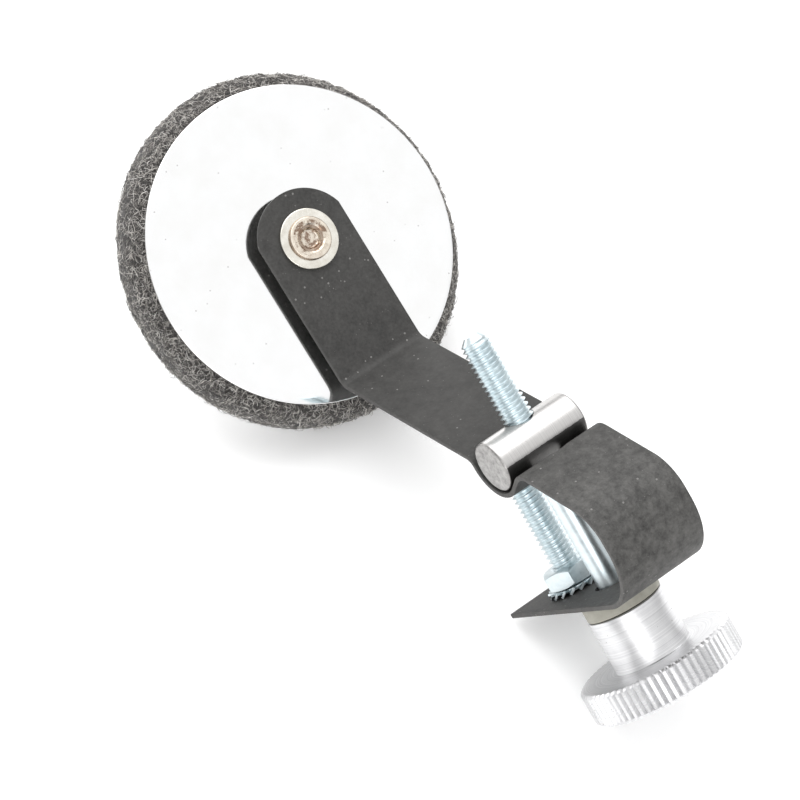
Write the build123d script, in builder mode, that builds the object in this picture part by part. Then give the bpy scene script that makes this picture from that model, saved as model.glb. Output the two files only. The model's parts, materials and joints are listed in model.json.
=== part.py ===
"""Felt polishing wheel on an adjustable spring arm.

One spring-steel strip forms the foot plate, the C-shaped bow, the saddle and the
arm.  A knurled adjusting screw runs from the foot through the bow into a tapped
cross barrel that lies in the saddle.  The felt wheel turns on a hollow rivet at
the arm's rounded end.  The part lies as it does on a table: on the rim of the
wheel's rear disc and on the knob's rim.

The strip's side view is drawn in foot coordinates: `along` runs along the foot
plate towards the bow, `up` runs along the adjusting screw away from the knob.
Both start where the screw's axis meets the foot plate's upper face.
"""
from build123d import *
import os
from math import atan2, cos, degrees, radians, sin, tan

os.makedirs("parts", exist_ok=True)

# ---- driving dimensions (mm, degrees) ----
# spring strip
strip_width = 19.4
strip_thickness = 0.95
foot_tip = -26.5            # along: the foot plate's square end
bow_reach = 25.4            # along: inside face of the bow
bow_lower_radius = 10.15    # inside radius between foot plate and bow
bow_shoulder = 16.6         # up: where the bow turns back over the foot
bow_upper_radius = 8.0
crest = (8.5, 27.1)         # along, up: corner between bow and saddle
crest_radius = 3.5
saddle_radius = 6.9         # outside radius of the U that holds the barrel
saddle_bottom = 23.7        # up: underside of the U
saddle_flat_end = 2.1       # along: where the U starts to climb to the crest
neck_radius = 1.8           # where the U turns out into the arm
arm_slope = 29.5            # how far the sloping arm leans off the foot plate
arm_bend_radius = 3.0
head_radius = 10.2          # rounded end, a little more than half the width
arm_length = 27.7           # from the wheel's axis to the arm's bend
flex_height = 11.5          # up: middle of the bow, where the strip flexes
flex_gap = 0.12             # parting of the strip's two halves at the flex line

saddle_slot_width = 6.8     # slot in the saddle for the adjusting screw
saddle_slot_length = 12.8
saddle_slot_centre = 2.3    # along: middle of that slot
saddle_slot_depth = 5.0

# wheel
wheel_along = -46.9         # centre of the front disc's outer face
wheel_up = 79.4
wheel_tilt = 4.2            # wheel axis against the foot plate
felt_diameter = 70.0
felt_width = 12.8
felt_edge_radius = 5.5
disc_diameter = 63.2
disc_thickness = 0.9
disc_rim_chamfer = 0.2
disc_stand_off = 2.8        # clear space between the front disc and the arm

# wheel bearing
rivet_diameter = 5.5
rivet_recess_diameter = 4.2
rivet_recess_depth = 1.2
rivet_lip_diameter = 8.6
rivet_lip_height = 0.7
rivet_head_diameter = 10.0
rivet_head_height = 1.5
rivet_head_round = 1.0
bush_diameter = 8.0
bush_flange_diameter = 11.0
bush_flange_thickness = 0.5
running_gap = 0.05          # radial clearance of every running fit
side_gap = 0.3              # end clearance between parts that turn
sleeve_diameter = 10.0
washer_diameter = 12.0
washer_thickness = 0.9
washer_chamfer = 0.2
arm_spacer_diameter = 9.0

# adjusting screw, knob and barrel
thread_diameter = 6.0
pitch_diameter = 5.35       # of the threads, where the screw runs in the barrel
shank_diameter = 5.6
screw_tip = 52.5            # up: end of the screw
screw_tip_chamfer = 1.2
thread_start = 24.0         # up: where the smooth shank turns into thread
free_thread_start = 36.0    # up: above this the thread stands free of the barrel
foot_hole_diameter = 7.0
barrel_diameter = 10.0
barrel_length = 19.2
barrel_up = 30.0
barrel_chamfer = 0.5
spacer_thickness = 3.7
spacer_diameter = 15.2
hub_diameter = 15.4
hub_height = 10.95
rim_diameter = 31.2
rim_thickness = 6.5
rim_chamfer = 0.5
knurl_count = 66
knurl_depth = 0.45
knob_bore_depth = 14.0      # blind bore that holds the screw's shank
knob_gap = 0.15             # clear space between the spacer and the turning hub

# stop bolt, M6
stop_along = -13.5
stop_bolt_length = 30.0
stop_hole_diameter = 6.4
hex_across_flats = 10.0
stop_head_diameter = 10.0
stop_head_height = 1.2      # low round head
nut_height = 3.5
star_washer_diameter = 12.0
star_washer_thickness = 1.3
star_tooth_count = 18
star_notch_depth = 1.2
star_notch_width = 0.8
hardware_chamfer = 0.4

# ---- how the part lies: rear disc's rim and knob's rim both touch the table ----
knob_end = -strip_thickness - spacer_thickness - hub_height - rim_thickness
knob_contact = (-rim_diameter / 2, knob_end + rim_chamfer)

wheel_thickness = felt_width + 2 * disc_thickness
tilt = radians(wheel_tilt)


def on_wheel(depth, radius):
    """Foot coordinates of a point behind the wheel's front face; +radius faces the arm."""
    return (
        wheel_along - depth * cos(tilt) + radius * sin(tilt),
        wheel_up - depth * sin(tilt) - radius * cos(tilt),
    )


disc_contact = on_wheel(wheel_thickness, disc_diameter / 2 - disc_rim_chamfer)
lean = degrees(
    atan2(knob_contact[0] - disc_contact[0], disc_contact[1] - knob_contact[1])
)

# the row's +Z is the table's normal; its +X runs from the wheel to the knob
sine = sin(radians(lean))
cosine = cos(radians(lean))
datum_z = -(knob_contact[0] * cosine + knob_contact[1] * sine)
felt_end = on_wheel(
    disc_thickness + felt_width - felt_edge_radius,
    felt_edge_radius - felt_diameter / 2,
)
wheel_end_x = felt_end[0] * sine - felt_end[1] * cosine - felt_edge_radius
knob_end_x = (rim_diameter / 2 - rim_chamfer) * sine - knob_end * cosine
datum_x = -(wheel_end_x + knob_end_x) / 2


def heading(angle):
    """Direction at this angle from `along` towards `up`, in row axes."""
    turned = radians(90 - lean + angle)
    return Vector(cos(turned), 0, sin(turned))


side_plane = Plane(origin=(datum_x, 0, datum_z), x_dir=heading(0), z_dir=(0, -1, 0))


def place(along, up):
    """Point of the middle plane, given in foot coordinates."""
    return side_plane.from_local_coords(Vector(along, up, 0))


def across(along, up, direction, side):
    """Plane that faces a direction of the side view; its x axis is another one."""
    return Plane(origin=place(along, up), x_dir=heading(side), z_dir=heading(direction))


screw_plane = across(0, 0, 90, 0)
stop_plane = across(stop_along, 0, 90, 0)
wheel_plane = across(wheel_along, wheel_up, wheel_tilt, wheel_tilt - 90)
barrel_plane = Plane(origin=place(0, barrel_up), x_dir=heading(0), z_dir=(0, 1, 0))

# ---- heights along the two axes ----
arm_back = disc_stand_off                      # from the front disc's face
arm_front = arm_back + strip_thickness
washer_front = arm_front + washer_thickness
rivet_front = washer_front + rivet_lip_height
wheel_back = -wheel_thickness
rear_washer_back = wheel_back - side_gap - washer_thickness
rivet_back = rear_washer_back - rivet_head_height
bush_bore = rivet_diameter + 2 * running_gap
spacer_bottom = -strip_thickness - spacer_thickness
rim_top = spacer_bottom - hub_height
screw_bottom = spacer_bottom - knob_bore_depth

# ---- the strip's outline: underside path, then its thickness ----
arm_bend = on_wheel(-arm_back, arm_length)
arm_head = on_wheel(-arm_back, -head_radius)
neck = (
    -saddle_radius,
    arm_bend[1] + (arm_bend[0] + saddle_radius) * tan(radians(arm_slope)),
)
strip_path = [
    (foot_tip, 0),
    (bow_reach, 0),
    (bow_reach, bow_shoulder),
    crest,
    (saddle_flat_end, saddle_bottom),
    (-saddle_radius, saddle_bottom),
    neck,
    arm_bend,
    arm_head,
]
strip_radii = [
    bow_lower_radius,
    bow_upper_radius,
    crest_radius,
    saddle_radius - 0.05,
    saddle_radius - 0.05,
    neck_radius,
    arm_bend_radius,
]


def spring_strip():
    """The whole strip, made in the part that is being built."""
    with BuildSketch(side_plane) as side_view:
        with BuildLine():
            underside = FilletPolyline(*strip_path, radius=strip_radii)
            offset(underside, amount=strip_thickness, side=Side.RIGHT)
        make_face()
    extrude(side_view.sketch, amount=strip_width / 2, both=True)


def cut_hole(plane, diameter):
    """Round hole through the strip where the plane's origin lies on it."""
    with BuildSketch(plane) as hole:
        Circle(diameter / 2)
    extrude(hole.sketch, amount=2 * strip_thickness, both=True, mode=Mode.SUBTRACT)


def ring(plane, outer_diameter, inner_diameter, height):
    """Flat ring that stands on the plane."""
    with BuildSketch(plane) as section:
        Circle(outer_diameter / 2)
        Circle(inner_diameter / 2, mode=Mode.SUBTRACT)
    extrude(section.sketch, amount=height)


def post(plane, diameter, height):
    """Round post that stands on the plane."""
    with BuildSketch(plane) as section:
        Circle(diameter / 2)
    extrude(section.sketch, amount=height)


def hexagon(plane, across_flats, height):
    """Hexagonal head or nut body that stands on the plane."""
    with BuildSketch(plane) as section:
        RegularPolygon(across_flats / 2, side_count=6, major_radius=False)
    extrude(section.sketch, amount=height)


def widest_edges(builder):
    """The round edges of the largest radius."""
    return builder.edges().filter_by(GeomType.CIRCLE).group_by(SortBy.RADIUS)[-1]


def end_edge(builder, plane):
    """The round edge that lies furthest along the plane's normal."""
    rounds = builder.edges().filter_by(GeomType.CIRCLE)
    return rounds.sort_by(Axis(plane.origin, plane.z_dir))[-1]


# ---- spring strip: foot half and arm half ----
with BuildPart() as spring_foot:
    spring_strip()
    split(bisect_by=screw_plane.offset(flex_height - flex_gap / 2), keep=Keep.BOTTOM)
    cut_hole(screw_plane, foot_hole_diameter)
    cut_hole(stop_plane, stop_hole_diameter)
spring_foot.part.label = "spring_foot"

with BuildPart() as spring_arm:
    spring_strip()
    split(bisect_by=screw_plane.offset(flex_height + flex_gap / 2), keep=Keep.TOP)
    # rounded end about the wheel's axis
    with BuildSketch(wheel_plane.offset(arm_back)):
        with Locations((-head_radius, 0)):
            Rectangle(2 * head_radius, 2 * strip_width)
        Circle(head_radius, mode=Mode.SUBTRACT)
    extrude(amount=2 * strip_thickness, both=True, mode=Mode.SUBTRACT)
    cut_hole(wheel_plane.offset(arm_back), rivet_diameter)
    # slot in the saddle, along the strip, that clears the adjusting screw
    with BuildSketch(screw_plane.offset(saddle_bottom)):
        with Locations((saddle_slot_centre, 0)):
            SlotOverall(saddle_slot_length, saddle_slot_width)
    extrude(amount=saddle_slot_depth, both=True, mode=Mode.SUBTRACT)
spring_arm.part.label = "spring_arm"

# ---- wheel ----
with BuildPart() as felt_ring:
    ring(wheel_plane.offset(-disc_thickness - felt_width), felt_diameter, sleeve_diameter, felt_width)
    fillet(widest_edges(felt_ring), radius=felt_edge_radius)
felt_ring.part.label = "felt_ring"

with BuildPart() as front_disc:
    ring(wheel_plane.offset(-disc_thickness), disc_diameter, sleeve_diameter, disc_thickness)
    chamfer(widest_edges(front_disc), length=disc_rim_chamfer)
front_disc.part.label = "front_disc"

with BuildPart() as rear_disc:
    ring(wheel_plane.offset(wheel_back), disc_diameter, sleeve_diameter, disc_thickness)
    chamfer(widest_edges(rear_disc), length=disc_rim_chamfer)
rear_disc.part.label = "rear_disc"

with BuildPart() as wheel_sleeve:
    ring(wheel_plane.offset(wheel_back), sleeve_diameter, bush_diameter, wheel_thickness)
wheel_sleeve.part.label = "wheel_sleeve"

with BuildPart() as bearing_bush:
    ring(wheel_plane.offset(wheel_back), bush_diameter, bush_bore, wheel_thickness)
    ring(wheel_plane, bush_flange_diameter, bush_bore, bush_flange_thickness)
bearing_bush.part.label = "bearing_bush"

# ---- rivet axle and its washers, all fixed to the arm ----
with BuildPart() as axle_rivet:
    post(wheel_plane.offset(rivet_back), rivet_head_diameter, rivet_head_height)
    fillet(end_edge(axle_rivet, -wheel_plane), radius=rivet_head_round)
    post(wheel_plane.offset(rear_washer_back), rivet_diameter, rivet_front - rear_washer_back)
    post(wheel_plane.offset(washer_front), rivet_lip_diameter, rivet_lip_height)
    chamfer(end_edge(axle_rivet, wheel_plane), length=rivet_lip_height / 2)
    with BuildSketch(wheel_plane.offset(rivet_front)):
        Circle(rivet_recess_diameter / 2)
    extrude(amount=-rivet_recess_depth, mode=Mode.SUBTRACT)
axle_rivet.part.label = "axle_rivet"

with BuildPart() as axle_washer:
    ring(wheel_plane.offset(arm_front), washer_diameter, rivet_diameter, washer_thickness)
    chamfer(widest_edges(axle_washer), length=washer_chamfer)
axle_washer.part.label = "axle_washer"

with BuildPart() as arm_spacer:
    ring(
        wheel_plane.offset(bush_flange_thickness + side_gap),
        arm_spacer_diameter,
        rivet_diameter,
        disc_stand_off - bush_flange_thickness - side_gap,
    )
arm_spacer.part.label = "arm_spacer"

with BuildPart() as rear_washer:
    ring(wheel_plane.offset(rear_washer_back), washer_diameter, rivet_diameter, washer_thickness)
    chamfer(widest_edges(rear_washer), length=washer_chamfer)
rear_washer.part.label = "rear_washer"

# ---- adjusting screw, knob, spacer and cross barrel ----
with BuildPart() as adjusting_screw:
    post(screw_plane.offset(screw_bottom), shank_diameter, thread_start - screw_bottom)
    post(screw_plane.offset(thread_start), pitch_diameter, free_thread_start - thread_start)
    post(screw_plane.offset(free_thread_start), thread_diameter, screw_tip - free_thread_start)
    chamfer(end_edge(adjusting_screw, screw_plane), length=screw_tip_chamfer)
adjusting_screw.part.label = "adjusting_screw"

with BuildPart() as knob:
    with BuildSketch(screw_plane.offset(knob_end)):
        Circle(rim_diameter / 2)
    extrude(amount=rim_thickness)
    chamfer(knob.edges().filter_by(GeomType.CIRCLE), length=rim_chamfer)
    with BuildSketch(screw_plane.offset(knob_end)):
        with PolarLocations(rim_diameter / 2, knurl_count):
            Rectangle(knurl_depth, knurl_depth, rotation=45)
    extrude(amount=rim_thickness, mode=Mode.SUBTRACT)
    post(screw_plane.offset(rim_top), hub_diameter, hub_height - knob_gap)
    with BuildSketch(screw_plane.offset(screw_bottom)):
        Circle(shank_diameter / 2)
    extrude(amount=rim_thickness + hub_height, mode=Mode.SUBTRACT)
knob.part.label = "knob"

with BuildPart() as knob_spacer:
    ring(screw_plane.offset(spacer_bottom), spacer_diameter, foot_hole_diameter, spacer_thickness)
knob_spacer.part.label = "knob_spacer"

with BuildPart() as cross_barrel:
    with BuildSketch(barrel_plane):
        Circle(barrel_diameter / 2)
    extrude(amount=barrel_length / 2, both=True)
    chamfer(cross_barrel.edges().filter_by(GeomType.CIRCLE), length=barrel_chamfer)
    with BuildSketch(screw_plane.offset(barrel_up)):
        Circle(pitch_diameter / 2 + running_gap)
    extrude(amount=barrel_diameter, both=True, mode=Mode.SUBTRACT)
cross_barrel.part.label = "cross_barrel"

# ---- stop bolt, its nut and its lock washer ----
with BuildPart() as stop_bolt:
    post(stop_plane.offset(-strip_thickness - stop_head_height), stop_head_diameter, stop_head_height)
    post(stop_plane.offset(-strip_thickness), thread_diameter, stop_bolt_length)
    chamfer(end_edge(stop_bolt, stop_plane), length=hardware_chamfer)
stop_bolt.part.label = "stop_bolt"

with BuildPart() as star_washer:
    with BuildSketch(stop_plane):
        Circle(star_washer_diameter / 2)
        Circle(stop_hole_diameter / 2, mode=Mode.SUBTRACT)
        with PolarLocations(star_washer_diameter / 2, star_tooth_count):
            SlotOverall(2 * star_notch_depth, star_notch_width, mode=Mode.SUBTRACT)
    extrude(amount=star_washer_thickness)
star_washer.part.label = "star_washer"

with BuildPart() as stop_nut:
    hexagon(stop_plane.offset(star_washer_thickness), hex_across_flats, nut_height)
    with BuildSketch(stop_plane.offset(star_washer_thickness)):
        Circle(thread_diameter / 2)
    extrude(amount=nut_height, mode=Mode.SUBTRACT)
stop_nut.part.label = "stop_nut"

# ---- write every part ----
finished = [
    spring_foot,
    spring_arm,
    felt_ring,
    front_disc,
    rear_disc,
    wheel_sleeve,
    bearing_bush,
    axle_rivet,
    axle_washer,
    arm_spacer,
    rear_washer,
    adjusting_screw,
    knob,
    knob_spacer,
    cross_barrel,
    stop_bolt,
    star_washer,
    stop_nut,
]
for piece in finished:
    export_step(piece.part, f"parts/{piece.part.label}.step")
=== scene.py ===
import json
import math
import random

import bmesh
import bpy
from mathutils import Matrix, Vector, noise


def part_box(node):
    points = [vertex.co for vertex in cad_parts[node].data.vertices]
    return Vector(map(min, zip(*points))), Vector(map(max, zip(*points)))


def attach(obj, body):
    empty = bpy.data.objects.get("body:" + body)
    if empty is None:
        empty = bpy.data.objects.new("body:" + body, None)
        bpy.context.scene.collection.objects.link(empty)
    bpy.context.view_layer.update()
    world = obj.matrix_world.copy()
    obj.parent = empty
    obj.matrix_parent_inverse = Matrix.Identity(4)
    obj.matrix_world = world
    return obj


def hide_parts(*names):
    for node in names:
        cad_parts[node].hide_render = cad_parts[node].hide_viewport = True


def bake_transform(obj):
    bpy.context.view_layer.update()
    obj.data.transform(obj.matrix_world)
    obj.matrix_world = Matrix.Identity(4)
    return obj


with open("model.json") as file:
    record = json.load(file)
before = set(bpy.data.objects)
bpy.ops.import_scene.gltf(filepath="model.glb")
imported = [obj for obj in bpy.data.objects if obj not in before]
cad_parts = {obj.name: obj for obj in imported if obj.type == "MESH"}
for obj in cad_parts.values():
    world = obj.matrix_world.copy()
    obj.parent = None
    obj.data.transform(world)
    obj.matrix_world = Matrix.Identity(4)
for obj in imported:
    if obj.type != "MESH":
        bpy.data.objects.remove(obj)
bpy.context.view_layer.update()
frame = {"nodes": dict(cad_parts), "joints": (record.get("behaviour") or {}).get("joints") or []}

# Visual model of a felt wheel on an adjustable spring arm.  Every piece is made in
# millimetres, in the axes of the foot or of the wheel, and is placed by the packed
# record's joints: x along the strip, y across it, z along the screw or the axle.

MM = 0.001
TURN = 2 * math.pi

joints = {joint["name"]: joint for joint in frame["joints"]}


def axes_at(origin, up):
    """Matrix from a part's own millimetres to the row frame."""
    up = Vector(up).normalized()
    across = Vector((0, 1, 0))
    along = across.cross(up)
    turned = Matrix((along, across, up)).transposed().to_4x4()
    return Matrix.Translation(Vector(origin)) @ turned @ Matrix.Scale(MM, 4)


FOOT = axes_at(joints["knob_turn"]["pos_m"], joints["knob_turn"]["axis"])
WHEEL = axes_at(joints["wheel_spin"]["pos_m"], joints["wheel_spin"]["axis"])


def node_middle(node, axes):
    """Middle of a CAD node, in a part's own millimetres."""
    low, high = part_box(node)
    return axes.inverted() @ ((low + high) / 2)


# ---- sizes in mm, as in the CAD ----
STRIP_WIDTH = 19.4
STRIP_THICKNESS = 0.95
STRIP_EDGE = 0.16
FOOT_TIP = -26.5
BOW_REACH = 25.4
BOW_LOWER_RADIUS = 10.15
BOW_SHOULDER = 16.6
BOW_UPPER_RADIUS = 8.0
CREST = (8.5, 27.1)
CREST_RADIUS = 3.5
SADDLE_RADIUS = 6.9
SADDLE_BOTTOM = 23.7
SADDLE_FLAT_END = 2.1
SADDLE_CORNER = SADDLE_RADIUS - 0.05
SADDLE_SLOT = (2.3, 12.8, 6.8)    # middle, length, width
NECK_RADIUS = 1.8
ARM_BEND_RADIUS = 3.0
SHANK_HOLE_RADIUS = 3.5
STOP_HOLE_RADIUS = 3.2
RIVET_HOLE_RADIUS = 2.77
ARM_SLOPE = math.radians(29.5)
ARM_LENGTH = 27.7
HEAD_RADIUS = 10.2
DISC_STAND_OFF = 2.8
DISC_RADIUS = 31.6
DISC_THICKNESS = 0.9
FELT_RADIUS = 35.0
FELT_WIDTH = 12.8
FELT_EDGE_RADIUS = 5.5
SLEEVE_RADIUS = 5.0
SHANK_RADIUS = 2.8
THREAD_RADIUS = 3.0
THREAD_PITCH = 1.0
THREAD_START = 24.0
SCREW_TIP = 52.5
SCREW_BOTTOM = -18.65
HUB_TOP = -4.8
RIM_TOP = -15.6
RIM_BOTTOM = -22.1
HUB_RADIUS = 7.7
RIM_RADIUS = 15.6
KNURLS = 66
SPACER_RADIUS = 7.6
SPACER_TOP = -0.95
SPACER_BOTTOM = -4.65
STOP_TIP = 29.05
NUT_HEIGHT = 3.5
NUT_FLATS = 10.0
STAR_THICKNESS = 1.3

barrel_middle = node_middle("cross_barrel", FOOT)
stop_middle = node_middle("star_washer", FOOT)
STOP = FOOT @ Matrix.Translation((stop_middle.x, 0, 0))
BARREL = FOOT @ Matrix.Translation((0, 0, barrel_middle.z)) @ Matrix.Rotation(-math.pi / 2, 4, "X")


# =====================================================================
# mesh tools
# =====================================================================

def rounded_path(points, radii, closed=False, step=math.radians(7)):
    """Corners of a 2D path turned into arcs."""
    made = []
    count = len(points)
    corners = [Vector(point) for point in points]
    for index, corner in enumerate(corners):
        radius = radii[index]
        at_end = not closed and index in (0, count - 1)
        if at_end or radius <= 0:
            made.append(corner)
            continue
        before = (corners[index - 1] - corner).normalized()
        after = (corners[(index + 1) % count] - corner).normalized()
        turn = math.pi - before.angle(after)
        middle = corner + (before + after).normalized() * (radius / math.cos(turn / 2))
        start = corner + before * radius * math.tan(turn / 2) - middle
        sweep = turn if before.x * after.y - before.y * after.x < 0 else -turn
        steps = max(2, math.ceil(turn / step))
        first = math.atan2(start.y, start.x)
        for k in range(steps + 1):
            angle = first + sweep * k / steps
            made.append(middle + Vector((math.cos(angle), math.sin(angle))) * radius)
    return made


def divided(path, longest):
    """The path with extra points, so that no run is longer than `longest`."""
    made = [path[0]]
    for start, end in zip(path, path[1:]):
        length = (end - start).length
        if length < 1e-6:
            continue
        parts = math.ceil(length / longest)
        for k in range(1, parts + 1):
            made.append(start.lerp(end, k / parts))
    return made


def box_section(low_r, high_r, low_z, high_z, bevel):
    """Outline of a ring with four rounded corners, for turning."""
    corners = [(low_r, low_z), (high_r, low_z), (high_r, high_z), (low_r, high_z)]
    return rounded_path(corners, [bevel] * 4, closed=True, step=math.radians(23))


def turned(outline, segments=160, closed=True, radius_at=None):
    """Points and faces of an outline of (radius, height) turned about z."""
    points, faces = [], []
    rows = len(outline)
    for i in range(segments):
        angle = TURN * i / segments
        for radius, height in outline:
            if radius_at:
                radius = radius_at(angle, radius, height)
            points.append((radius * math.cos(angle), radius * math.sin(angle), height))
    last = rows if closed else rows - 1
    for i in range(segments):
        here, there = i * rows, (i + 1) % segments * rows
        for j in range(last):
            k = (j + 1) % rows
            faces.append((here + j, there + j, there + k, here + k))
    return points, faces


def thread(radius, start, end, chamfer, segments=48):
    """A screw thread as one helical surface, cut flat at both ends."""
    depth = 0.6 * THREAD_PITCH
    shape = [
        (0.00, radius - 0.06), (0.04, radius), (0.11, radius), (0.15, radius - 0.06),
        (0.44, radius - depth + 0.05), (0.50, radius - depth),
        (0.64, radius - depth), (0.70, radius - depth + 0.05),
    ]
    turns = math.ceil((end - start) / THREAD_PITCH) + 3
    steps = turns * segments
    rows = len(shape)
    points, faces = [], []
    for i in range(steps + 1):
        angle = TURN * i / segments
        base = start - 1.5 * THREAD_PITCH + THREAD_PITCH * i / segments
        for share, reach in shape:
            height = base + share * THREAD_PITCH
            limit = max(0.3, radius - chamfer + (end - height))
            reach = min(reach, limit)
            points.append((reach * math.cos(angle), reach * math.sin(angle), height))
    for i in range(steps):
        for j in range(rows):
            if j < rows - 1:
                faces.append((i * rows + j, (i + 1) * rows + j, (i + 1) * rows + j + 1, i * rows + j + 1))
            elif i + segments < steps:
                above, next_above = (i + segments) * rows, (i + 1 + segments) * rows
                faces.append((i * rows + j, (i + 1) * rows + j, next_above, above))
    mesh = bmesh.new()
    corners = [mesh.verts.new(point) for point in points]
    for face in faces:
        mesh.faces.new([corners[index] for index in face])
    bmesh.ops.remove_doubles(mesh, verts=mesh.verts, dist=1e-5)
    for height, side in ((start, -1), (end, 1)):
        cut = bmesh.ops.bisect_plane(
            mesh,
            geom=mesh.verts[:] + mesh.edges[:] + mesh.faces[:],
            plane_co=(0, 0, height),
            plane_no=(0, 0, side),
            clear_outer=True,
        )
        rim = [item for item in cut["geom_cut"] if isinstance(item, bmesh.types.BMEdge)]
        bmesh.ops.holes_fill(mesh, edges=rim, sides=0)
    points = [tuple(vert.co) for vert in mesh.verts]
    mesh.verts.index_update()
    faces = [tuple(vert.index for vert in face.verts) for face in mesh.faces]
    mesh.free()
    return points, faces


def hexagon_body(flats, low, high, bore, segments=96):
    """A chamfered hexagon nut."""
    apothem = flats / 2
    round_edge = apothem * 0.97
    slope = math.tan(math.radians(30))

    def hex_radius(angle):
        return apothem / math.cos((angle + math.pi / 6) % (math.pi / 3) - math.pi / 6)

    points, faces = [], []
    for i in range(segments):
        angle = TURN * i / segments
        wide = hex_radius(angle)
        drop = (wide - round_edge) * slope
        ring = [
            (bore, high - 0.4), (bore + 0.4, high), (round_edge, high), (wide, high - drop),
            (wide, low + drop), (round_edge, low), (bore + 0.4, low), (bore, low + 0.4),
        ]
        rows = len(ring)
        for reach, height in ring:
            points.append((reach * math.cos(angle), reach * math.sin(angle), height))
    for i in range(segments):
        here, there = i * rows, (i + 1) % segments * rows
        for j in range(rows):
            k = (j + 1) % rows
            faces.append((here + j, there + j, there + k, here + k))
    return points, faces


def joined(*shapes):
    """Several (points, faces) pairs as one."""
    points, faces = [], []
    for more_points, more_faces in shapes:
        base = len(points)
        points += more_points
        faces += [tuple(base + index for index in face) for face in more_faces]
    return points, faces


def finish_mesh(mesh, axes, sharp=math.radians(32)):
    """Welds, faces outward, smooths up to the sharp angle, keeps own axes, places."""
    work = bmesh.new()
    work.from_mesh(mesh)
    bmesh.ops.remove_doubles(work, verts=work.verts, dist=1e-4)
    bmesh.ops.dissolve_degenerate(work, edges=work.edges, dist=1e-5)
    bmesh.ops.recalc_face_normals(work, faces=work.faces)
    for face in work.faces:
        face.smooth = True
    for edge in work.edges:
        edge.smooth = len(edge.link_faces) == 2 and edge.calc_face_angle(0) < sharp
    work.to_mesh(mesh)
    work.free()
    own = mesh.attributes.new("own", "FLOAT_VECTOR", "POINT")
    own.data.foreach_set("vector", [value for vert in mesh.vertices for value in vert.co])
    mesh.transform(axes)


def make_piece(name, shape, axes, material, body, replaced=(), sharp=32):
    """One object from (points, faces), riding on a body."""
    mesh = bpy.data.meshes.new(name)
    mesh.from_pydata(shape[0], [], shape[1])
    finish_mesh(mesh, axes, math.radians(sharp))
    piece = bpy.data.objects.new(name, mesh)
    bpy.context.scene.collection.objects.link(piece)
    mesh.materials.append(material)
    if body:
        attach(piece, body)
    if replaced:
        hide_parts(*replaced)
    return piece


def cut_away(shape, cutters):
    """The shape less the cutters, by exact booleans, all in the same axes."""
    def loose_object(name, parts):
        mesh = bpy.data.meshes.new(name)
        mesh.from_pydata(parts[0], [], parts[1])
        work = bmesh.new()
        work.from_mesh(mesh)
        bmesh.ops.remove_doubles(work, verts=work.verts, dist=1e-4)
        bmesh.ops.recalc_face_normals(work, faces=work.faces)
        work.to_mesh(mesh)
        work.free()
        made = bpy.data.objects.new(name, mesh)
        bpy.context.scene.collection.objects.link(made)
        return made

    target = loose_object("cut_target", shape)
    tools = [loose_object("cut_tool", cutter) for cutter in cutters]
    for tool in tools:
        step = target.modifiers.new("cut", "BOOLEAN")
        step.operation = "DIFFERENCE"
        step.solver = "EXACT"
        step.object = tool
    bpy.context.view_layer.update()
    graph = bpy.context.evaluated_depsgraph_get()
    result = bpy.data.meshes.new_from_object(target.evaluated_get(graph))
    points = [tuple(vert.co) for vert in result.vertices]
    faces = [tuple(face.vertices) for face in result.polygons]
    for leftover in [target] + tools:
        bpy.data.objects.remove(leftover)
    bpy.data.meshes.remove(result)
    return points, faces


def prism(outline, low, high):
    """A straight-sided solid over a 2D outline, along z."""
    count = len(outline)
    points = [(x, y, low) for x, y in outline] + [(x, y, high) for x, y in outline]
    faces = [tuple(range(count))[::-1], tuple(range(count, 2 * count))]
    for i in range(count):
        k = (i + 1) % count
        faces.append((i, k, count + k, count + i))
    return points, faces


def slot_outline(middle, length, width, steps=24):
    """Outline of a slot along x."""
    outline = []
    for end, sign in ((middle + length / 2 - width / 2, 1), (middle - length / 2 + width / 2, -1)):
        for k in range(steps + 1):
            angle = sign * (-math.pi / 2) + math.pi * k / steps
            if sign < 0:
                angle = math.pi / 2 + math.pi * k / steps
            outline.append((end + width / 2 * math.cos(angle), width / 2 * math.sin(angle)))
    return outline


def moved(shape, matrix):
    """The shape with its points moved by a matrix."""
    return [tuple(matrix @ Vector(point)) for point in shape[0]], shape[1]


# =====================================================================
# materials
# =====================================================================

def add(tree, kind, inputs=None, **settings):
    """A node with its settings and its inputs, which are values or sockets."""
    made = tree.nodes.new(kind)
    for key, value in settings.items():
        setattr(made, key, value)
    for key, value in (inputs or {}).items():
        if isinstance(value, bpy.types.NodeSocket):
            tree.links.new(value, made.inputs[key])
        else:
            made.inputs[key].default_value = value
    return made


def start_material(name, **sockets):
    """A material with its tree, its shader and the piece's own coordinates."""
    material = bpy.data.materials.new(name)
    material.use_nodes = True
    tree = material.node_tree
    shader = tree.nodes["Principled BSDF"]
    for key, value in sockets.items():
        shader.inputs[key.replace("_", " ")].default_value = value
    own = add(tree, "ShaderNodeAttribute", attribute_name="own").outputs["Vector"]
    return material, tree, shader, own


def speckle(tree, own, scale, detail=4.0, roughness=0.6, squeeze=(1, 1, 1)):
    """Noise value over the piece's own coordinates, per millimetre."""
    place = add(tree, "ShaderNodeMapping", {"Vector": own, "Scale": squeeze})
    grain = add(
        tree,
        "ShaderNodeTexNoise",
        {"Vector": place.outputs[0], "Scale": scale, "Detail": detail, "Roughness": roughness},
    )
    return grain.outputs["Fac"]


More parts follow.
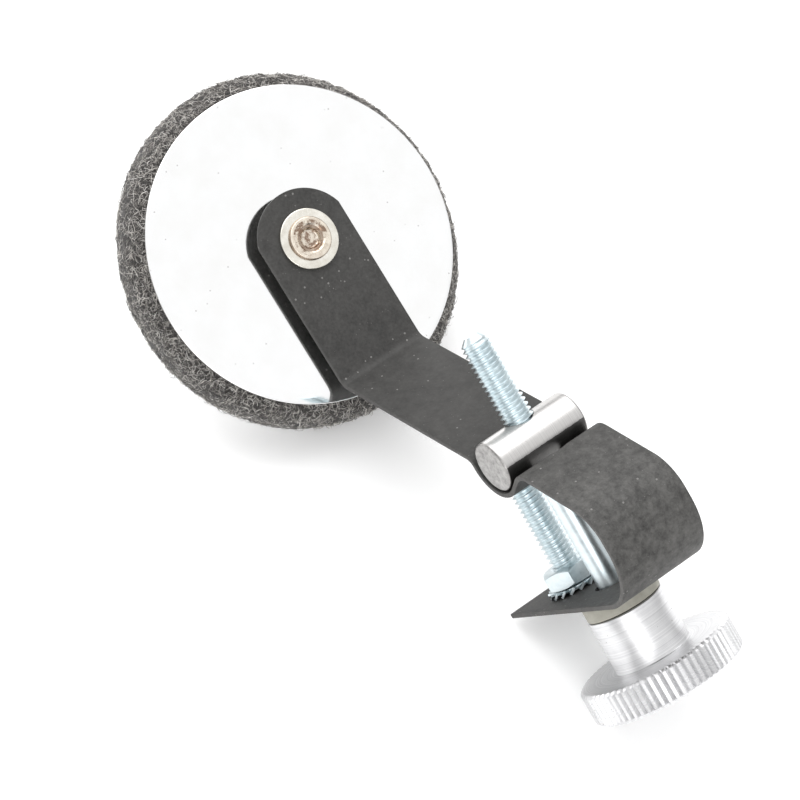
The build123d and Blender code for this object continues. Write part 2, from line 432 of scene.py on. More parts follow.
def ramp(tree, value, stops):
    """Colour ramp with (position, grey or colour) stops."""
    made = add(tree, "ShaderNodeValToRGB", {"Fac": value})
    while len(made.color_ramp.elements) < len(stops):
        made.color_ramp.elements.new(0.5)
    for element, (position, colour) in zip(made.color_ramp.elements, stops):
        if not isinstance(colour, tuple):
            colour = (colour, colour, colour)
        element.position = position
        element.color = (*colour, 1)
    return made.outputs["Color"]


def mixed(tree, share, first, second, blend="MIX"):
    """Colour mix of two colours or sockets."""
    made = add(tree, "ShaderNodeMix", data_type="RGBA", blend_type=blend)
    for index, value in ((0, share), (6, first), (7, second)):
        if isinstance(value, bpy.types.NodeSocket):
            tree.links.new(value, made.inputs[index])
        else:
            made.inputs[index].default_value = value if index == 0 else (*value, 1)
    return made.outputs[2]


def maths(tree, operation, first, second=0.0, third=0.0):
    """Math node on values or sockets."""
    made = add(tree, "ShaderNodeMath", {0: first, 1: second, 2: third}, operation=operation)
    return made.outputs[0]


def parts_of(tree, own):
    """x, y, z and the distance from the z axis, in mm."""
    split = add(tree, "ShaderNodeSeparateXYZ", {"Vector": own})
    x, y, z = split.outputs
    square = maths(tree, "ADD", maths(tree, "MULTIPLY", x, x), maths(tree, "MULTIPLY", y, y))
    return x, y, z, maths(tree, "SQRT", square)


def dots(tree, own, scale, size, share):
    """Scattered small dots: 1 inside a dot. Only a share of the cells has one."""
    cells = add(tree, "ShaderNodeTexVoronoi", {"Vector": own, "Scale": scale, "Randomness": 1.0})
    chosen = add(tree, "ShaderNodeSeparateColor", {"Color": cells.outputs["Color"]}).outputs[0]
    inside = maths(tree, "LESS_THAN", cells.outputs["Distance"], size)
    return maths(tree, "MULTIPLY", inside, maths(tree, "LESS_THAN", chosen, share))


def raise_surface(tree, shader, height, strength, distance_mm):
    """Bump from a height value."""
    bump = add(tree, "ShaderNodeBump", {"Height": height, "Strength": strength, "Distance": distance_mm * MM})
    tree.links.new(bump.outputs[0], shader.inputs["Normal"])


def set_colour(tree, shader, colour, rough=None):
    tree.links.new(colour, shader.inputs["Base Color"])
    if rough is not None:
        tree.links.new(rough, shader.inputs["Roughness"])


def black_steel():
    """Blackened spring steel: matte charcoal, dusty, worn paler along its edges."""
    material, tree, shader, own = start_material("black_steel", Specular_IOR_Level=0.35)
    cloud = speckle(tree, own, 0.09, 5)
    grain = speckle(tree, own, 1.6, 3, 0.7)
    base = ramp(tree, cloud, [(0.32, (0.020, 0.019, 0.017)), (0.68, (0.042, 0.040, 0.037))])
    base = mixed(tree, 0.4, base, ramp(tree, grain, [(0.35, 0.014), (0.65, 0.058)]))
    smear = speckle(tree, own, 0.42, 7, 0.8)
    along, across, _, _ = parts_of(tree, own)
    at_bow = maths(tree, "MULTIPLY_ADD", along, 0.035, 0.25)
    at_bow = maths(tree, "MINIMUM", maths(tree, "MAXIMUM", at_bow, 0.25), 1.0)
    chalk = maths(tree, "MULTIPLY", ramp(tree, smear, [(0.36, 0.0), (0.72, 0.55)]), at_bow)
    base = mixed(tree, chalk, base, (0.19, 0.186, 0.178))
    dust = dots(tree, own, 0.75, 0.15, 0.16)
    base = mixed(tree, maths(tree, "MULTIPLY", dust, 0.4), base, (0.34, 0.33, 0.32))
    fine_dust = dots(tree, own, 1.7, 0.13, 0.16)
    base = mixed(tree, maths(tree, "MULTIPLY", fine_dust, 0.35), base, (0.30, 0.29, 0.28))
    side = maths(tree, "GREATER_THAN", maths(tree, "ABSOLUTE", across), STRIP_WIDTH / 2 - 0.12)
    worn = maths(tree, "MULTIPLY", side, speckle(tree, own, 0.5, 3))
    base = mixed(tree, maths(tree, "MULTIPLY", worn, 0.5), base, (0.12, 0.115, 0.11))
    set_colour(tree, shader, base, ramp(tree, grain, [(0.3, 0.50), (0.7, 0.68)]))
    raise_surface(tree, shader, grain, 0.3, 0.06)
    return material


def mirror_disc():
    """Bright plated disc: almost a mirror, with fine lines and a few specks."""
    material, tree, shader, own = start_material("mirror_disc", Metallic=1.0)
    haze = speckle(tree, own, 0.12, 4)
    base = ramp(tree, haze, [(0.3, (0.86, 0.86, 0.855)), (0.7, (0.90, 0.905, 0.91))])
    specks = dots(tree, own, 0.55, 0.09, 0.25)
    base = mixed(tree, maths(tree, "MULTIPLY", specks, 0.5), base, (0.35, 0.34, 0.33))
    _, _, _, distance = parts_of(tree, own)
    lines = add(tree, "ShaderNodeTexNoise", {"Scale": 7.0, "Detail": 2.0}, noise_dimensions="1D")
    tree.links.new(distance, lines.inputs["W"])
    rough = mixed(
        tree, 0.5,
        ramp(tree, haze, [(0.25, 0.05), (0.75, 0.11)]),
        ramp(tree, lines.outputs["Fac"], [(0.3, 0.06), (0.7, 0.10)]),
    )
    set_colour(tree, shader, base, rough)
    raise_surface(tree, shader, lines.outputs["Fac"], 0.04, 0.01)
    return material


def plated(name, light, dark, rough, scale=0.5):
    """Plated or zinc-coated steel with an uneven bloom."""
    material, tree, shader, own = start_material(name, Metallic=1.0)
    bloom = speckle(tree, own, scale, 5, 0.65)
    specks = dots(tree, own, 1.1, 0.10, 0.2)
    base = ramp(tree, bloom, [(0.3, dark), (0.7, light)])
    base = mixed(tree, maths(tree, "MULTIPLY", specks, 0.35), base, (0.30, 0.29, 0.27))
    set_colour(tree, shader, base, ramp(tree, bloom, [(0.3, rough - 0.05), (0.7, rough + 0.08)]))
    raise_surface(tree, shader, speckle(tree, own, 4.0, 3), 0.12, 0.02)
    return material


def rivet_steel():
    """Plated rivet whose recess holds brown grease."""
    material, tree, shader, own = start_material("rivet_steel", Metallic=1.0)
    bloom = speckle(tree, own, 0.9, 5)
    base = ramp(tree, bloom, [(0.3, (0.62, 0.54, 0.45)), (0.7, (0.84, 0.78, 0.68))])
    _, _, height, distance = parts_of(tree, own)
    smudge = speckle(tree, own, 0.55, 5, 0.7)
    patchy = ramp(tree, smudge, [(0.46, 0.0), (0.56, 0.9)])
    inner = maths(tree, "LESS_THAN", distance, 3.6)
    base = mixed(tree, maths(tree, "MULTIPLY", inner, patchy), base, (0.20, 0.125, 0.085))
    from_groove = maths(tree, "ABSOLUTE", maths(tree, "SUBTRACT", distance, 2.35))
    in_groove = maths(tree, "LESS_THAN", from_groove, 0.28)
    at_lip = maths(tree, "LESS_THAN", maths(tree, "ABSOLUTE", maths(tree, "SUBTRACT", distance, 4.25)), 0.12)
    dirty = maths(tree, "MAXIMUM", in_groove, at_lip)
    base = mixed(tree, maths(tree, "MULTIPLY", dirty, 0.75), base, (0.24, 0.165, 0.12))
    set_colour(tree, shader, base, ramp(tree, bloom, [(0.3, 0.20), (0.7, 0.34)]))
    raise_surface(tree, shader, bloom, 0.2, 0.05)
    return material


def turned_steel():
    """Turned barrel: fine lines round it, mottled ends, and painted shade on its lower side in the saddle."""
    material, tree, shader, own = start_material("turned_steel", Metallic=1.0)
    _, _, height, distance = parts_of(tree, own)
    lines = add(tree, "ShaderNodeTexNoise", {"Scale": 5.0, "Detail": 3.0}, noise_dimensions="1D")
    tree.links.new(height, lines.inputs["W"])
    mottle = speckle(tree, own, 0.8, 5, 0.7)
    at_end = maths(tree, "GREATER_THAN", maths(tree, "ABSOLUTE", height), 9.2)
    base = ramp(tree, lines.outputs["Fac"], [(0.3, (0.50, 0.49, 0.48)), (0.7, (0.60, 0.59, 0.58))])
    ends = ramp(tree, mottle, [(0.35, (0.21, 0.205, 0.20)), (0.65, (0.42, 0.41, 0.40))])
    base = mixed(tree, at_end, base, ends)
    specks = dots(tree, own, 0.7, 0.08, 0.25)
    base = mixed(tree, maths(tree, "MULTIPLY", specks, 0.5), base, (0.25, 0.24, 0.20))
    # painted shade: the quarter of the barrel down in the saddle, towards the crest, is darkened to stand in for
    # the shade and dark reflections there
    x, y, _, _ = parts_of(tree, own)
    edge = maths(tree, "MULTIPLY_ADD", mottle, 0.5, 0.45)
    saddle_painted_shade = maths(tree, "MULTIPLY", maths(tree, "GREATER_THAN", y, edge), maths(tree, "GREATER_THAN", x, 0.0))
    saddle_painted_shade = maths(tree, "MULTIPLY", saddle_painted_shade, maths(tree, "LESS_THAN", maths(tree, "ABSOLUTE", height), 9.2))
    base = mixed(tree, maths(tree, "MULTIPLY", saddle_painted_shade, 0.88), base, (0.075, 0.074, 0.072))
    set_colour(tree, shader, base, ramp(tree, mottle, [(0.3, 0.26), (0.7, 0.38)]))
    raise_surface(tree, shader, lines.outputs["Fac"], 0.15, 0.03)
    return material


def turned_aluminium():
    """Knob: turning lines on hub and flange, dark specks and handling marks."""
    material, tree, shader, own = start_material("turned_aluminium", Metallic=1.0)
    _, _, height, distance = parts_of(tree, own)
    both = maths(tree, "ADD", height, distance)
    lines = add(tree, "ShaderNodeTexNoise", {"Scale": 2.6, "Detail": 4.0, "Roughness": 0.7}, noise_dimensions="1D")
    tree.links.new(both, lines.inputs["W"])
    cloud = speckle(tree, own, 0.16, 4)
    base = ramp(tree, lines.outputs["Fac"], [(0.3, (0.50, 0.50, 0.515)), (0.7, (0.84, 0.84, 0.85))])
    base = mixed(tree, 0.35, base, ramp(tree, cloud, [(0.3, 0.55), (0.7, 0.90)]))
    specks = dots(tree, own, 0.9, 0.11, 0.25)
    base = mixed(tree, maths(tree, "MULTIPLY", specks, 0.6), base, (0.20, 0.19, 0.18))
    set_colour(tree, shader, base, ramp(tree, cloud, [(0.3, 0.30), (0.7, 0.42)]))
    raise_surface(tree, shader, lines.outputs["Fac"], 0.3, 0.04)
    return material


def beige_fibre():
    """Pressed fibre spacer."""
    material, tree, shader, own = start_material("beige_fibre", Roughness=0.62)
    cloud = speckle(tree, own, 0.35, 5, 0.65)
    base = ramp(tree, cloud, [(0.3, (0.30, 0.29, 0.245)), (0.7, (0.41, 0.40, 0.345))])
    specks = dots(tree, own, 1.3, 0.12, 0.2)
    base = mixed(tree, maths(tree, "MULTIPLY", specks, 0.4), base, (0.20, 0.18, 0.14))
    set_colour(tree, shader, base)
    raise_surface(tree, shader, speckle(tree, own, 3.0, 3), 0.2, 0.03)
    return material


def felt_wool():
    """Pressed dark wool under the loose fibres."""
    material, tree, shader, own = start_material(
        "felt_wool", Roughness=0.95, Sheen_Weight=0.25, Sheen_Roughness=0.6
    )
    clumps = speckle(tree, own, 0.45, 6, 0.7)
    fuzz = speckle(tree, own, 2.2, 4, 0.7)
    base = ramp(tree, clumps, [(0.3, (0.010, 0.009, 0.008)), (0.7, (0.032, 0.028, 0.025))])
    tips = ramp(tree, fuzz, [(0.38, (0.004, 0.003, 0.003)), (0.66, (0.07, 0.063, 0.057))])
    base = mixed(tree, 0.5, base, tips)
    set_colour(tree, shader, base)
    raise_surface(tree, shader, fuzz, 0.9, 0.35)
    return material


def loose_fibre():
    """Single wool fibres, some pale and some dark."""
    material, tree, shader, own = start_material(
        "loose_fibre", Roughness=0.85, Sheen_Weight=0.2, Sheen_Roughness=0.5
    )
    shade = add(tree, "ShaderNodeAttribute", attribute_name="shade").outputs["Fac"]
    stops = [
        (0.0, (0.012, 0.010, 0.009)),
        (0.4, (0.16, 0.147, 0.135)),
        (0.75, (0.62, 0.585, 0.54)),
        (1.0, (0.95, 0.92, 0.88)),
    ]
    base = ramp(tree, shade, stops)
    base = mixed(tree, 0.15, base, ramp(tree, speckle(tree, own, 1.5, 3), [(0.3, 0.02), (0.7, 0.35)]))
    set_colour(tree, shader, base)
    return material


def sintered_bronze():
    """Bearing bush."""
    return plated("sintered_bronze", (0.62, 0.44, 0.22), (0.42, 0.28, 0.13), 0.4, 1.2)


BLACK = black_steel()
MIRROR = mirror_disc()
ZINC = plated("zinc_steel", (0.76, 0.83, 0.85), (0.57, 0.65, 0.68), 0.32)
BRIGHT = plated("bright_steel", (0.84, 0.82, 0.76), (0.66, 0.63, 0.56), 0.22)
RIVET = rivet_steel()
TURNED = turned_steel()
ALUMINIUM = turned_aluminium()
BEIGE = beige_fibre()
WOOL = felt_wool()
FIBRE = loose_fibre()
BRONZE = sintered_bronze()


# =====================================================================
# spring strip
# =====================================================================

def on_wheel(depth, reach):
    """Foot coordinates of a point given in the wheel's axes."""
    return FOOT.inverted() @ (WHEEL @ Vector((reach, 0, -depth)))


def strip_samples():
    """Points of the strip's underside, with the direction of its thickness."""
    bend = on_wheel(-DISC_STAND_OFF, ARM_LENGTH)
    shoulder = math.sqrt(HEAD_RADIUS**2 - (STRIP_WIDTH / 2) ** 2)
    head = on_wheel(-DISC_STAND_OFF, -shoulder)
    neck_height = bend.z + (bend.x + SADDLE_RADIUS) * math.tan(ARM_SLOPE)
    corners = [
        (FOOT_TIP, 0),
        (BOW_REACH, 0),
        (BOW_REACH, BOW_SHOULDER),
        CREST,
        (SADDLE_FLAT_END, SADDLE_BOTTOM),
        (-SADDLE_RADIUS, SADDLE_BOTTOM),
        (-SADDLE_RADIUS, neck_height),
        (bend.x, bend.z),
        (head.x, head.z),
    ]
    radii = [
        0,
        BOW_LOWER_RADIUS,
        BOW_UPPER_RADIUS,
        CREST_RADIUS,
        SADDLE_CORNER,
        SADDLE_CORNER,
        NECK_RADIUS,
        ARM_BEND_RADIUS,
        0,
    ]
    path = divided(rounded_path(corners, radii, step=math.radians(5)), 1.2)
    samples = []
    for index, point in enumerate(path):
        before = path[max(index - 1, 0)]
        after = path[min(index + 1, len(path) - 1)]
        ahead = (after - before).normalized()
        samples.append((point, Vector((ahead.y, -ahead.x)), STRIP_WIDTH / 2))
    # the round end: the strip narrows along an arc about the wheel's axis
    point, thickness_way, half = samples[-1]
    ahead = Vector((-thickness_way.y, thickness_way.x))
    first = math.acos(half / HEAD_RADIUS)
    steps = 28
    for k in range(1, steps + 1):
        angle = first + (math.radians(88.5) - first) * k / steps
        reach = HEAD_RADIUS * math.sin(angle) - shoulder
        samples.append((point + ahead * reach, thickness_way, HEAD_RADIUS * math.cos(angle)))
    return samples


def strip_section(half_width, columns=14):
    """Outline of the strip's cross-section as (across, depth)."""
    edge = min(STRIP_EDGE, half_width * 0.5)
    corner = [math.radians(angle) for angle in (0, 30, 60, 90)]
    flat = [-1 + 2 * k / columns for k in range(columns + 1)]
    reach = half_width - edge
    outline = [(value * reach, 0) for value in flat]
    outline += [(reach + edge * math.sin(a), edge - edge * math.cos(a)) for a in corner[1:]]
    outline += [(reach + edge * math.cos(a), STRIP_THICKNESS - edge + edge * math.sin(a)) for a in corner[:-1]]
    outline += [(-value * reach, STRIP_THICKNESS) for value in flat]
    outline += [(-reach - edge * math.sin(a), STRIP_THICKNESS - edge + edge * math.cos(a)) for a in corner[1:]]
    outline += [(-reach - edge * math.cos(a), edge - edge * math.sin(a)) for a in corner[:-1]]
    return outline


def strip_shape():
    points, faces = [], []
    samples = strip_samples()
    rows = 0
    for point, way, half_width in samples:
        outline = strip_section(half_width)
        rows = len(outline)
        for across, depth in outline:
            place = point + way * depth
            points.append((place.x, across, place.y))
    for i in range(len(samples) - 1):
        for j in range(rows):
            k = (j + 1) % rows
            faces.append((i * rows + j, i * rows + k, (i + 1) * rows + k, (i + 1) * rows + j))
    faces.append(tuple(range(rows)))
    last = (len(samples) - 1) * rows
    faces.append(tuple(range(last, last + rows))[::-1])
    return points, faces


def hole_cutter(radius, low, high, x=0.0):
    outline = [
        (x + radius * math.cos(TURN * k / 64), radius * math.sin(TURN * k / 64)) for k in range(64)
    ]
    return prism(outline, low, high)


wheel_in_foot = FOOT.inverted() @ WHEEL
strip = cut_away(
    strip_shape(),
    [
        hole_cutter(SHANK_HOLE_RADIUS, -3, 3),
        hole_cutter(STOP_HOLE_RADIUS, -3, 3, stop_middle.x),
        prism(slot_outline(*SADDLE_SLOT), SADDLE_BOTTOM - 5, SADDLE_BOTTOM + 5),
        moved(hole_cutter(RIVET_HOLE_RADIUS, 0, 6), wheel_in_foot),
    ],
)
spring_strip = make_piece("spring_strip", strip, FOOT, BLACK, None, (), sharp=40)
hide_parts("spring_foot", "spring_arm")
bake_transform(spring_strip)


# =====================================================================
# wheel
# =====================================================================

WHEEL_BACK = -2 * DISC_THICKNESS - FELT_WIDTH


def disc(name, low, replaced):
    outline = box_section(SLEEVE_RADIUS, DISC_RADIUS, low, low + DISC_THICKNESS, 0.22)
    shape = turned(divided(outline + outline[:1], 2.0)[:-1], 320)
    make_piece(name, shape, WHEEL, MIRROR, "wheel", (replaced,), sharp=50)


disc("front_mirror_disc", -DISC_THICKNESS, "front_disc")
disc("rear_mirror_disc", WHEEL_BACK, "rear_disc")


def felt_outline():
    """The felt's rounded edge, then its hidden inner side."""
    low, high = WHEEL_BACK + DISC_THICKNESS + 0.02, -DISC_THICKNESS - 0.02
    corners = [(SLEEVE_RADIUS + 0.05, low), (FELT_RADIUS, low), (FELT_RADIUS, high), (SLEEVE_RADIUS + 0.05, high)]
    edge = rounded_path(corners, [0, FELT_EDGE_RADIUS, FELT_EDGE_RADIUS, 0], closed=True, step=math.radians(4))
    return divided(edge, 0.5)


def felt_swell(place):
    """How far the wool stands out at a place, in mm."""
    clumps = noise.noise(place * 0.35) * 0.26
    tufts = noise.noise(place * 1.1 + Vector((7, 3, 1))) * 0.16
    crumbs = noise.noise(place * 2.6 + Vector((1, 9, 4))) * 0.08
    return clumps + tufts + crumbs


def felt_radius(angle, radius, height):
    """The felt's radius at a place, a little out of round and lumpy."""
    if radius < DISC_RADIUS - 1.5:
        return radius
    share = min(1.0, (radius - DISC_RADIUS + 1.5) / 3)
    place = Vector((radius * math.cos(angle), radius * math.sin(angle), height))
    out_of_round = 0.15 - 0.95 * math.sin(angle) ** 2
    return radius + share * (felt_swell(place) + out_of_round)


felt_shape = turned(felt_outline(), 560, radius_at=felt_radius)
make_piece("felt_body", felt_shape, WHEEL, WOOL, "wheel", ("felt_ring",), sharp=180)


def fibre_strand(rng):
    """One curled wool fibre as a thin three-sided tube."""
    middle = WHEEL_BACK / 2
    reach = FELT_WIDTH / 2 - FELT_EDGE_RADIUS
    turn = rng.uniform(0, TURN)
    swing = rng.uniform(-80, 80)
    swing_angle = math.radians(swing)
    edge = FELT_RADIUS - FELT_EDGE_RADIUS
    radial = edge + FELT_EDGE_RADIUS * math.cos(swing_angle)
    height = middle + math.copysign(reach, swing) * min(1, abs(swing) / 20)
    height += FELT_EDGE_RADIUS * math.sin(swing_angle)
    outward = math.cos(swing_angle)
    out = Vector((outward * math.cos(turn), outward * math.sin(turn), math.sin(swing_angle)))
    radial = felt_radius(turn, radial, height)
    place = Vector((radial * math.cos(turn), radial * math.sin(turn), height)) + out * 0.02
    round_way = Vector((-math.sin(turn), math.cos(turn), 0))
    side_way = out.cross(round_way)
    heading = rng.uniform(0, TURN)
    way = round_way * math.cos(heading) + side_way * math.sin(heading)
    standing = abs(rng.gauss(0, 0.25))
    if rng.random() < 0.15:
        standing += rng.uniform(0.3, 0.9)
    curl = rng.uniform(-1.1, 1.1)
    length = rng.uniform(0.6, 1.6)
    if rng.random() < 0.12:
        length += rng.uniform(0.5, 1.8)
    links = 5
    line = [place]
    for k in range(links):
        heading += curl * length / links + rng.gauss(0, 0.18)
        way = round_way * math.cos(heading) + side_way * math.sin(heading)
        rise = standing * math.cos(math.pi * k / links * 0.9)
        line.append(line[-1] + (way + out * rise).normalized() * length / links)
    thick = rng.uniform(0.04, 0.085)
    points, faces = [], []
    for k, spot in enumerate(line):
        ahead = (line[min(k + 1, links)] - line[max(k - 1, 0)]).normalized()
        side = ahead.cross(out).normalized()
        top = side.cross(ahead)
        width = thick * (1 - 0.6 * k / links)
        for corner in range(3):
            angle = TURN * corner / 3
            points.append(spot + (side * math.cos(angle) + top * math.sin(angle)) * width)
    for k in range(links):
        for corner in range(3):
            other = (corner + 1) % 3
            faces.append((k * 3 + corner, k * 3 + other, k * 3 + 3 + other, k * 3 + 3 + corner))
    faces.append((2, 1, 0))
    faces.append((links * 3, links * 3 + 1, links * 3 + 2))
    return points, faces


def loose_fibres(count):
    rng = random.Random(20)
    points, faces, shades = [], [], []
    for _ in range(count):
        strand_points, strand_faces = fibre_strand(rng)
        base = len(points)
        points += strand_points
        faces += [tuple(base + index for index in face) for face in strand_faces]
        shades += [rng.random() ** 1.1] * len(strand_points)
    mesh = bpy.data.meshes.new("felt_fibres")
    mesh.from_pydata(points, [], faces)
    shade = mesh.attributes.new("shade", "FLOAT", "POINT")
    shade.data.foreach_set("value", shades)
    own = mesh.attributes.new("own", "FLOAT_VECTOR", "POINT")
    own.data.foreach_set("vector", [value for point in points for value in point])
    mesh.transform(WHEEL)
    mesh.polygons.foreach_set("use_smooth", [True] * len(mesh.polygons))
    mesh.materials.append(FIBRE)
    piece = bpy.data.objects.new("felt_fibres", mesh)
    bpy.context.scene.collection.objects.link(piece)
    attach(piece, "wheel")


loose_fibres(24000)


# =====================================================================
# rivet and washers on the arm
# =====================================================================

ARM_FRONT = DISC_STAND_OFF + STRIP_THICKNESS
WASHER_FRONT = ARM_FRONT + 0.9
REAR_WASHER_BACK = WHEEL_BACK - 0.3 - 0.9


def rivet():
    """Hollow rivet: flared lip in front, plain head behind."""
    lip = WASHER_FRONT
    corners = [
        (0, REAR_WASHER_BACK - 1.5), (5.0, REAR_WASHER_BACK - 1.5), (5.0, REAR_WASHER_BACK),
        (2.75, REAR_WASHER_BACK), (2.75, lip), (4.3, lip), (4.3, lip + 0.7),
        (2.9, lip + 0.7), (2.6, lip + 0.45), (2.1, lip + 0.4), (1.85, lip - 0.4), (0, lip - 0.5),
    ]
    radii = [0, 0.9, 0.05, 0, 0, 0.3, 0.32, 0.15, 0.15, 0.2, 0.5, 0]
    outline = rounded_path(corners, radii, step=math.radians(15))
    return turned(outline, 128, closed=False)


make_piece("hollow_rivet", rivet(), WHEEL, RIVET, "arm", ("axle_rivet",))
make_piece(
    "lip_washer", turned(box_section(2.78, 6.0, ARM_FRONT + 0.01, WASHER_FRONT - 0.01, 0.2), 160),
    WHEEL, BRIGHT, "arm", ("axle_washer",),
)
make_piece(
    "back_washer", turned(box_section(2.78, 6.0, REAR_WASHER_BACK + 0.01, REAR_WASHER_BACK + 0.9, 0.2), 160),
    WHEEL, BRIGHT, "arm", ("rear_washer",),
)


# =====================================================================
# adjusting screw, barrel, knob and spacer
# =====================================================================

SHANK_TOP = THREAD_START + 0.4
shank_outline = [
    (0, SCREW_BOTTOM),
    (SHANK_RADIUS, SCREW_BOTTOM),
    (SHANK_RADIUS, -6),
    (SHANK_RADIUS, SHANK_TOP),
    (0, SHANK_TOP),
]
shank = turned(shank_outline, 96, closed=False)
screw = joined(shank, thread(THREAD_RADIUS, THREAD_START, SCREW_TIP, 1.5))
make_piece("threaded_screw", screw, FOOT, ZINC, "knob", ("adjusting_screw",))

HALF_BARREL = 9.6
barrel_outline = rounded_path(
    [(0, -HALF_BARREL), (5, -HALF_BARREL), (5, HALF_BARREL), (0, HALF_BARREL)],
    [0, 0.55, 0.55, 0],
    step=math.radians(12),
)
barrel_shape = moved(
    turned(divided(barrel_outline, 1.6), 128, closed=False),
    FOOT.inverted() @ BARREL,
)
barrel_shape = cut_away(barrel_shape, [hole_cutter(3.05, barrel_middle.z - 8, barrel_middle.z + 8)])
barrel_shape = moved(barrel_shape, BARREL.inverted() @ FOOT)
make_piece("turned_barrel", barrel_shape, BARREL, TURNED, "barrel", ("cross_barrel",))


def knurl(angle, radius, height):
    """Depth of the straight knurl at an angle, on the rim's outer face only."""
    if radius < RIM_RADIUS - 0.62:
        return radius
    phase = (angle * KNURLS / TURN) % 1
    ridge = 1 - abs(2 * phase - 1)
    valley = 0.62 * (1 - min(1.0, ridge * 1.7))
    return min(radius, RIM_RADIUS) - valley


def knob_shape():
    corners = [
        (SHANK_RADIUS + 0.02, HUB_TOP), (HUB_RADIUS, HUB_TOP), (HUB_RADIUS, RIM_TOP),
        (RIM_RADIUS - 0.55, RIM_TOP), (RIM_RADIUS, RIM_TOP - 0.5), (RIM_RADIUS, RIM_BOTTOM + 0.5),
        (RIM_RADIUS - 0.55, RIM_BOTTOM), (5.0, RIM_BOTTOM), (4.4, RIM_BOTTOM + 0.6), (0, RIM_BOTTOM + 0.6),
    ]
    radii = [0, 0.35, 0.25, 0.12, 0.12, 0.12, 0.12, 0.1, 0.1, 0]
    outline = rounded_path(corners, radii, step=math.radians(25))
    outline += [Vector((0, SCREW_BOTTOM)), Vector((SHANK_RADIUS + 0.02, SCREW_BOTTOM))]
    return turned(divided(outline, 4.0), KNURLS * 10, closed=True, radius_at=knurl)


make_piece("knurled_knob", knob_shape(), FOOT, ALUMINIUM, "knob", ("knob",), sharp=28)
make_piece(
    "beige_spacer", turned(box_section(3.5, SPACER_RADIUS, SPACER_BOTTOM, SPACER_TOP, 0.25), 160),
    FOOT, BEIGE, "foot", ("knob_spacer",),
)


# =====================================================================
# stop bolt, nut and star washer
# =====================================================================

HEAD_LOW = -STRIP_THICKNESS - 1.2
HEAD_HIGH = -STRIP_THICKNESS - 0.01
head_outline = rounded_path(
    [(0, HEAD_LOW), (5, HEAD_LOW), (5, HEAD_HIGH), (0, HEAD_HIGH)],
    [0, 0.7, 0.1, 0],
    step=math.radians(15),
)
bolt_head = turned(head_outline, 96, closed=False)
bolt = joined(bolt_head, thread(THREAD_RADIUS - 0.02, -STRIP_THICKNESS - 1.0, STOP_TIP, 0.6))
make_piece("threaded_stop_bolt", bolt, STOP, ZINC, "foot", ("stop_bolt",))
make_piece(
    "chamfered_nut",
    hexagon_body(NUT_FLATS, STAR_THICKNESS, STAR_THICKNESS + NUT_HEIGHT, THREAD_RADIUS + 0.02),
    STOP, ZINC, "foot", ("stop_nut",),
)


def star_shape(teeth=18):
    """Lock washer: a flat ring with twisted teeth round it."""
    ring_edge = 4.7
    ring = turned(box_section(3.2, ring_edge, 0.3, 1.0, 0.08), 120)
    shapes = [ring]
    for tooth in range(teeth):
        angle = TURN * tooth / teeth
        outward = Vector((math.cos(angle), math.sin(angle), 0))
        sideways = Vector((-math.sin(angle), math.cos(angle), 0))
        points, faces = [], []
        steps = 5
        for k in range(steps + 1):
            share = k / steps
            reach = ring_edge - 0.25 + (6.0 - ring_edge + 0.25) * share
            twist = math.radians(38) * share
            half = 0.76
            wide = (sideways * math.cos(twist) + Vector((0, 0, 1)) * math.sin(twist)) * half
            thick = (Vector((0, 0, 1)) * math.cos(twist) - sideways * math.sin(twist)) * 0.22
            centre = outward * reach + Vector((0, 0, 0.65))
            for corner in (-wide - thick, wide - thick, wide + thick, -wide + thick):
                points.append(tuple(centre + corner))
        for k in range(steps):
            for corner in range(4):
                other = (corner + 1) % 4
                faces.append((k * 4 + corner, k * 4 + other, k * 4 + 4 + other, k * 4 + 4 + corner))
        faces.append((3, 2, 1, 0))
        faces.append((steps * 4, steps * 4 + 1, steps * 4 + 2, steps * 4 + 3))
        shapes.append((points, faces))
    return joined(*shapes)


make_piece("toothed_washer", star_shape(), STOP, ZINC, "foot", ("star_washer",))


# =====================================================================
# hidden CAD parts that stay
# =====================================================================

for node_name, finish in (("wheel_sleeve", BRIGHT), ("bearing_bush", BRONZE), ("arm_spacer", BRIGHT)):
    mesh = frame["nodes"][node_name].data
    mesh.materials.clear()
    mesh.materials.append(finish)


# =====================================================================
# floor, light and camera
# =====================================================================

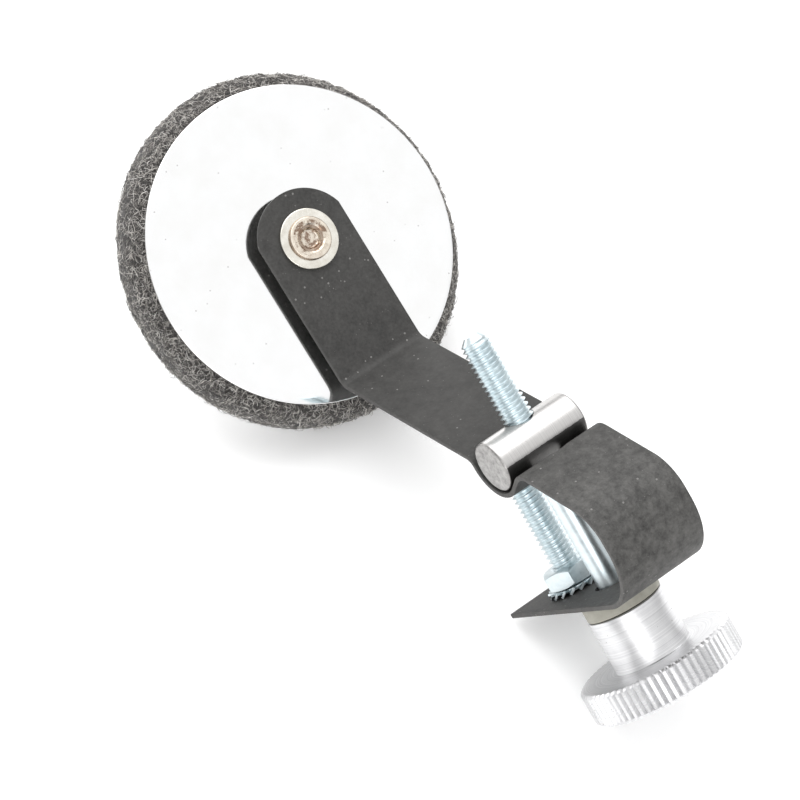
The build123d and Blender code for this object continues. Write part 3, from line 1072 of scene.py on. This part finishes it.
def make_floor():
    """A pale sheet that the part lies on."""
    material, tree, shader, _ = start_material("pale_floor", Roughness=0.8)
    place = add(tree, "ShaderNodeTexCoord").outputs["Object"]
    cloud = add(tree, "ShaderNodeTexNoise", {"Vector": place, "Scale": 3.0, "Detail": 2.0})
    pale = ramp(tree, cloud.outputs["Fac"], [(0.3, 0.94), (0.7, 0.96)])
    tree.links.new(pale, shader.inputs["Base Color"])
    tree.links.new(pale, shader.inputs["Emission Color"])
    shader.inputs["Emission Strength"].default_value = 0.14
    mesh = bpy.data.meshes.new("floor")
    half = 3.0
    mesh.from_pydata([(-half, -half, 0), (half, -half, 0), (half, half, 0), (-half, half, 0)], [], [(0, 1, 2, 3)])
    floor = bpy.data.objects.new("floor", mesh)
    floor.location.z = -0.0002
    mesh.materials.append(material)
    bpy.context.scene.collection.objects.link(floor)


def soft_light(name, place, aim, size, power, colour=(1, 1, 1)):
    light = bpy.data.lights.new(name, "AREA")
    light.shape = "RECTANGLE"
    light.size, light.size_y = size
    light.energy = power
    light.color = colour
    holder = bpy.data.objects.new(name, light)
    holder.location = place
    holder.rotation_euler = (Vector(aim) - Vector(place)).to_track_quat("-Z", "Y").to_euler()
    bpy.context.scene.collection.objects.link(holder)
    return holder


def make_world():
    """Soft studio surround: bright overhead, greyer towards the horizon."""
    world = bpy.data.worlds.new("studio")
    bpy.context.scene.world = world
    world.use_nodes = True
    tree = world.node_tree
    place = add(tree, "ShaderNodeTexCoord").outputs["Generated"]
    split = add(tree, "ShaderNodeSeparateXYZ", {"Vector": place})
    sky = ramp(tree, split.outputs["Z"], [(0.0, 0.45), (0.4, 0.72), (0.70, 1.0)])
    background = tree.nodes["Background"]
    tree.links.new(sky, background.inputs["Color"])
    background.inputs["Strength"].default_value = 1.12


def make_camera():
    """Camera 57 degrees up, looking across the strip from between -Y and +X."""
    right = Vector((0.63177636, 0.77194407, 0.07043424))
    up = Vector((-0.67433669, 0.50252515, 0.54105314))
    back = right.cross(up)
    lens = bpy.data.cameras.new("camera")
    lens.sensor_width = 36.0
    lens.lens = 156.82
    lens.clip_start, lens.clip_end = 0.05, 20
    camera = bpy.data.objects.new("camera", lens)
    place = Matrix.Translation((0.248735, -0.263355, 0.578241))
    camera.matrix_world = place @ Matrix((right, up, back)).transposed().to_4x4()
    bpy.context.scene.collection.objects.link(camera)
    bpy.context.scene.camera = camera


make_floor()
make_world()
soft_light("key", (-0.6, 0.2, 0.9), (0, 0, 0.02), (1.4, 1.4), 11.0)
soft_light("fill", (0.7, -0.6, 0.6), (0, 0, 0.02), (0.8, 0.5), 2.5)
make_camera()
bpy.context.scene.view_settings.view_transform = "Standard"
